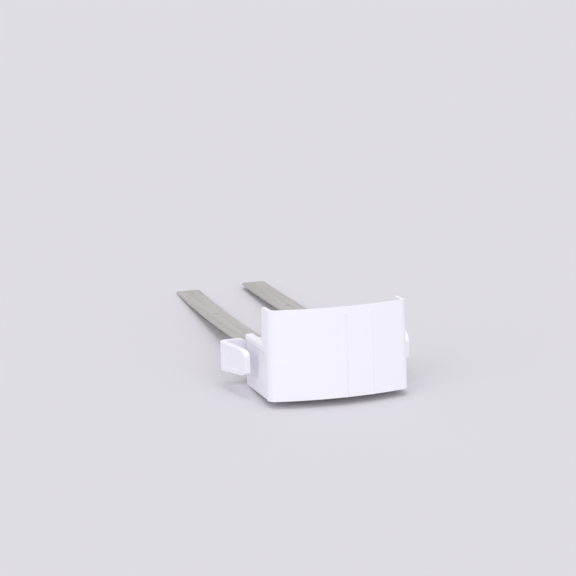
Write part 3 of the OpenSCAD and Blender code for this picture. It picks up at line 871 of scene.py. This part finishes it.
def blade_strip(b, rise, steps):
    """A blade, laid along Y from the point where it leaves the head. Its tip rises by rise."""
    half = b.width / 2
    root, root_half, neck = -28 * MM, 5.2 * MM, -3 * MM
    bm = bmesh.new()
    outline_face(
        bm,
        [
            (-root_half, root, 0), (root_half, root, 0), (root_half, neck, 0), (half, neck, 0),
            (half, b.reach, 0), (-half, b.reach, 0), (-half, neck, 0), (-root_half, neck, 0),
        ],
    )
    corners = bm.verts[:]
    round_corners(bm, [corners[4], corners[5]], 1.2 * MM, 5)
    thicken(bm, bm.faces[:], (0, 0, b.thickness))
    place(bm, Matrix.Translation((0, 0, -b.thickness / 2)))
    holes = [(b.reach - b.hole_back, b.hole), (-9.4 * MM, 1.7 * MM), (-22.4 * MM, 1.7 * MM)]
    for y, radius in holes:
        drill = turned([(0, -5 * MM), (radius, -5 * MM), (radius, 5 * MM), (0, 5 * MM)], 2 * steps)
        bm = carve(bm, place(drill, Matrix.Translation((0, y, 0))))
    clean_flats(bm)
    soften(bm, b.edge, segments=3)
    for i in range(1, 48):
        bmesh.ops.bisect_plane(
            bm, geom=bm.verts[:] + bm.edges[:] + bm.faces[:], dist=SAME_POINT,
            plane_co=(0, b.reach * i / 48, 0), plane_no=(0, 1, 0),
        )
    for vert in bm.verts:
        share = min(1.0, max(0.0, vert.co.y / b.reach))
        vert.co.z += rise * share - 4 * b.sag * share * (1 - share)
    return bm


class LATCH_OT_blades(bpy.types.Operator):
    """Build the two flat spring blades with their holes, rounded tips and sag"""

    bl_idname = "latch.blades"
    bl_label = "Spring blades"

    def execute(self, context):
        """Builds each blade and turns it in by its toe."""
        b = context.scene.latch_blades
        steps = context.scene.latch_stage.steps
        look = finishes(context.scene.latch_colours)["blade"]
        for side in SIDES:
            bm = blade_strip(b, b.rise if side > 0 else 0.0, steps)
            place(bm, Matrix.Translation((b.offset, 0, 0)) @ Matrix.Rotation(b.toe, 4, "Z"))
            if side < 0:
                bm = flipped(bm)
            name = SIDE_NAMES[side] + "_blade"
            make_piece(name + "_strip", bm, look, "head", [name])
        return {"FINISHED"}


# ---------------------------------------------------------------- clamps, pivots, springs, screws


class LATCH_OT_clamps(bpy.types.Operator):
    """Build the clamp plates, rubber pads and threaded inserts that hold the blades"""

    bl_idname = "latch.clamps"
    bl_label = "Blade clamps"

    def execute(self, context):
        """Rounds the edges of each clamp piece and gives it its finish."""
        looks = finishes(context.scene.latch_colours)
        for side in SIDE_NAMES.values():
            plate = side + "_clamp_plate"
            pad = side + "_blade_pad"
            make_piece(plate + "_steel", softened_copy(plate, 0.2 * MM), looks["plated"], "head", [plate])
            make_piece(pad + "_rubber", softened_copy(pad, 0.1 * MM), looks["rubber"], "head", [pad])
        inserts = softened_copy("blade_inserts", 0.15 * MM)
        make_piece("brass_inserts", inserts, looks["brass"], "head", ["blade_inserts"])
        return {"FINISHED"}


class LATCH_OT_pivots(bpy.types.Operator):
    """Build the two pivot pins and their retaining clips"""

    bl_idname = "latch.pivots"
    bl_label = "Pivots"

    def execute(self, context):
        """Turns each pin with its chamfers, and softens the clips."""
        looks = finishes(context.scene.latch_colours)
        radius = (PIN_HIGH.x - PIN_LOW.x) / 2
        tall = PIN_HIGH.z - PIN_LOW.z
        clip_low, clip_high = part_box("pin_clips")
        groove = clip_low.z - PIN_LOW.z
        thick = clip_high.z - clip_low.z
        chamfer = 0.25 * MM
        depth = 0.3 * MM
        for side in SIDES:
            pin = turned(
                [
                    (0, 0), (radius - chamfer, 0), (radius, chamfer), (radius, groove),
                    (radius - depth, groove), (radius - depth, groove + thick), (radius, groove + thick),
                    (radius, tall - chamfer), (radius - chamfer, tall), (0, tall),
                ],
                4 * context.scene.latch_stage.steps,
            )
            middle = (PIN_LOW + PIN_HIGH) / 2
            place(pin, Matrix.Translation((side * middle.x, middle.y, PIN_LOW.z)))
            node = SIDE_NAMES[side] + "_pivot_pin"
            make_piece(node + "_turned", pin, looks["plated"], "head", [node])
        clips = softened_copy("pin_clips", 0.06 * MM)
        make_piece("retaining_clips", clips, looks["clip"], "head", ["pin_clips"])
        return {"FINISHED"}


def coil_spring(low, high, radius, wire, turns, steps):
    """A torsion spring wound round Z, with a straight leg at each end."""
    bm = bmesh.new()
    bmesh.ops.create_circle(bm, cap_ends=False, radius=wire, segments=10)
    place(bm, Matrix.Translation((radius, 0, low)) @ Matrix.Rotation(math.pi / 2, 4, "X"))
    start = bm.edges[:]
    total = turns * 2 * steps
    rise = (high - low) / total
    made = bmesh.ops.spin(
        bm, geom=bm.verts[:] + start, cent=(0, 0, 0), axis=(0, 0, 1), dvec=(0, 0, rise),
        angle=turns * math.tau, steps=total, use_merge=False,
    )
    last = [g for g in made["geom_last"] if isinstance(g, bmesh.types.BMEdge)]
    for loop, reach in ((start, -6 * MM), (last, 7.5 * MM)):
        out = bmesh.ops.extrude_edge_only(bm, edges=loop)
        verts = [g for g in out["geom"] if isinstance(g, bmesh.types.BMVert)]
        edges = [g for g in out["geom"] if isinstance(g, bmesh.types.BMEdge)]
        bmesh.ops.translate(bm, verts=verts, vec=(0, reach, 0))
        ends = [e for e in edges if e.verts[0] in verts and e.verts[1] in verts]
        bmesh.ops.holes_fill(bm, edges=ends, sides=0)
    bmesh.ops.recalc_face_normals(bm, faces=bm.faces)
    return bm


class LATCH_OT_springs(bpy.types.Operator):
    """Build the torsion spring at each tab's pivot"""

    bl_idname = "latch.springs"
    bl_label = "Tab springs"

    def execute(self, context):
        """Winds each spring in the space of its CAD node."""
        look = finishes(context.scene.latch_colours)["spring"]
        low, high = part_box("right_tab_spring")
        wire = 0.35 * MM
        radius = 1.95 * MM
        pin = (PIN_LOW + PIN_HIGH) / 2
        for side in SIDES:
            bm = coil_spring(low.z + wire, high.z - wire, radius, wire, 4, 14)
            place(bm, Matrix.Translation((pin.x, pin.y, 0)) @ Matrix.Rotation(math.pi, 4, "Z"))
            if side < 0:
                bm = flipped(bm)
            node = SIDE_NAMES[side] + "_tab_spring"
            make_piece(node + "_coil", bm, look, "head", [node])
        return {"FINISHED"}


def pan_head_screw(thread, reach, recess, steps):
    """A pan-head screw that points up Z, with thread rings, a point and a cross recess."""
    head, tall, depth, pitch = 2.7 * MM, 1.7 * MM, 0.25 * MM, 0.8 * MM
    profile = [
        (0, -tall), (head * 0.72, -tall), (head * 0.93, -tall * 0.8), (head, -tall * 0.45), (head, 0),
        (thread - depth, 0),
    ]
    height = pitch
    while height < reach - pitch:
        profile += [(thread - depth, height - 0.35 * pitch), (thread, height), (thread - depth, height + 0.35 * pitch)]
        height += pitch
    profile += [(thread - depth, reach - 0.6 * pitch), (0, reach)]
    bm = turned(profile, 2 * steps)
    cutter = bmesh.new()
    for turn in (0, math.pi / 2):
        bar = bmesh.new()
        bmesh.ops.create_cube(bar, size=1.0)
        bmesh.ops.scale(bar, vec=(recess, 0.7 * MM, 1.8 * MM), verts=bar.verts)
        place(bar, Matrix.Translation((0, 0, -tall)) @ Matrix.Rotation(turn, 4, "Z"))
        add_shape(cutter, bar) if turn == 0 else None
        if turn:
            cutter = carve(cutter, bar, "UNION")
    return carve(bm, cutter)


class LATCH_OT_screws(bpy.types.Operator):
    """Build the pan-head screws that hold the blades, the front cover and the bottom cover"""

    bl_idname = "latch.screws"
    bl_label = "Screws"

    def execute(self, context):
        """Makes a screw at each of its places and joins each row into one piece."""
        look = finishes(context.scene.latch_colours)["plated"]
        steps = context.scene.latch_stage.steps
        origin = head_origin(context.scene.latch_cover)
        b = context.scene.latch_blades
        blade_low = -b.thickness / 2
        rows = {"blade_screws": [], "cover_screws": [], "bottom_screws": []}
        for side in SIDES:
            toe = Matrix.Translation((side * b.offset, 0, 0)) @ Matrix.Rotation(side * b.toe, 4, "Z")
            for back in (9.4 * MM, 22.4 * MM):
                rows["blade_screws"].append(toe @ Matrix.Translation((0, -back, blade_low - 2 * MM)))
            for back in (16.5 * MM, 35.5 * MM):
                rows["bottom_screws"].append(Matrix.Translation(origin + Vector((side * 5.2 * MM, back, 2.2 * MM))))
            for height in (8 * MM, 19 * MM):
                seat = origin + Vector((side * 11 * MM, 11.4 * MM, height))
                rows["cover_screws"].append(Matrix.Translation(seat) @ Matrix.Rotation(math.pi / 2, 4, "X"))
        sizes = {"blade_screws": (1.5, 7.0, 3.2), "cover_screws": (1.3, 9, 3), "bottom_screws": (1.3, 8, 3)}
        for node, places in rows.items():
            thread, reach, recess = (v * MM for v in sizes[node])
            whole = bmesh.new()
            for matrix in places:
                add_shape(whole, place(pan_head_screw(thread, reach, recess, steps), matrix))
            make_piece(node + "_pan_head", whole, look, "head", [node])
        return {"FINISHED"}


# ---------------------------------------------------------------- stage


def soft_sun(name, strength, spread, azimuth, elevation):
    """An even light from a wide part of the sky. Angles in degrees, azimuth from the front to the right."""
    data = bpy.data.lights.new(name, "SUN")
    data.energy = strength
    data.angle = math.radians(spread)
    light = bpy.data.objects.new(name, data)
    bpy.context.scene.collection.objects.link(light)
    turn = Matrix.Rotation(math.radians(azimuth), 3, "Z")
    light.rotation_euler = (turn @ Matrix.Rotation(math.radians(90 - elevation), 3, "X")).to_euler()
    return light


class LATCH_OT_stage(bpy.types.Operator):
    """Lay the floor, hang the lights and set the camera"""

    bl_idname = "latch.stage"
    bl_label = "Stage"

    def execute(self, context):
        """Makes the floor that the head and the blade tips rest on, the soft lights and the camera."""
        v = context.scene.latch_stage
        colours = context.scene.latch_colours
        # The blades sag, so the head rests on its rear bottom edge and the floor is tilted to it
        normal = Vector((0, -math.sin(v.floor_tilt), math.cos(v.floor_tilt)))
        bm = bmesh.new()
        bmesh.ops.create_grid(bm, x_segments=8, y_segments=8, size=v.floor_width / 2)
        place(bm, normal.to_track_quat("Z", "Y").to_matrix().to_4x4())
        bmesh.ops.translate(bm, verts=bm.verts, vec=-normal * v.floor_low)
        mesh = bpy.data.meshes.new("studio_floor")
        bm.to_mesh(mesh)
        bm.free()
        floor = bpy.data.objects.new("studio_floor", mesh)
        context.scene.collection.objects.link(floor)
        mesh.materials.append(paper_sweep(colours.floor))

        world = bpy.data.worlds.new("studio")
        context.scene.world = world
        world.use_nodes = True
        sky = world.node_tree.nodes["Background"]
        sky.inputs["Color"].default_value = (*linear("#F4F4F8"), 1.0)
        sky.inputs["Strength"].default_value = 0.84
        soft_sun("overhead", 0.5, 24, 0, 84)
        soft_sun("left_fill", 0.4, 40, -60, 28)
        soft_sun("front_fill", 0.5, 40, 10, 25)

        azimuth, elevation = v.azimuth, v.elevation
        camera = bpy.data.objects.new("camera", bpy.data.cameras.new("camera"))
        context.scene.collection.objects.link(camera)
        camera.location = (-0.30156, -0.91381, 0.21241)
        turn = Matrix.Rotation(-azimuth, 3, "Z") @ Matrix.Rotation(math.pi / 2 - elevation, 3, "X")
        camera.rotation_euler = (turn @ Matrix.Rotation(v.roll, 3, "Z")).to_euler()
        camera.data.sensor_width = 36
        camera.data.lens = v.lens
        camera.data.clip_start = 0.01
        context.scene.camera = camera
        context.scene.view_settings.view_transform = "Standard"
        return {"FINISHED"}


# ---------------------------------------------------------------- add-on


class LATCH_PT_build(bpy.types.Panel):
    """Panel that lists the steps of the latch head"""

    bl_idname = "LATCH_PT_build"
    bl_label = "Latch head"
    bl_space_type = "VIEW_3D"
    bl_region_type = "UI"
    bl_category = "Latch"

    def draw(self, context):
        """Lists the operators in the order of the build."""
        for step in STEPS:
            self.layout.operator(step.bl_idname)
        for group in ("latch_cover", "latch_tabs", "latch_blades", "latch_colours", "latch_stage"):
            box = self.layout.box()
            for key in getattr(context.scene, group).bl_rna.properties.keys():
                if key not in ("rna_type", "name"):
                    box.prop(getattr(context.scene, group), key)


STEPS = (
    LATCH_OT_front_cover,
    LATCH_OT_inner_mouldings,
    LATCH_OT_tabs,
    LATCH_OT_blades,
    LATCH_OT_clamps,
    LATCH_OT_pivots,
    LATCH_OT_springs,
    LATCH_OT_screws,
    LATCH_OT_stage,
)
GROUPS = {
    "latch_cover": CoverSizes,
    "latch_tabs": TabSizes,
    "latch_blades": BladeSizes,
    "latch_colours": FinishColours,
    "latch_stage": StageSizes,
}


def register():
    """Registers the classes and hangs the property groups on the scene."""
    for cls in (*GROUPS.values(), *STEPS, LATCH_PT_build):
        bpy.utils.register_class(cls)
    for key, cls in GROUPS.items():
        setattr(bpy.types.Scene, key, PointerProperty(type=cls))


def unregister():
    """Takes the property groups and the classes away again."""
    for key in GROUPS:
        delattr(bpy.types.Scene, key)
    for cls in reversed((*GROUPS.values(), *STEPS, LATCH_PT_build)):
        bpy.utils.unregister_class(cls)


def main():
    """Builds the whole object."""
    register()
    for step in STEPS:
        group, name = step.bl_idname.split(".")
        getattr(getattr(bpy.ops, group), name)()


if __name__ == "__main__":
    main()
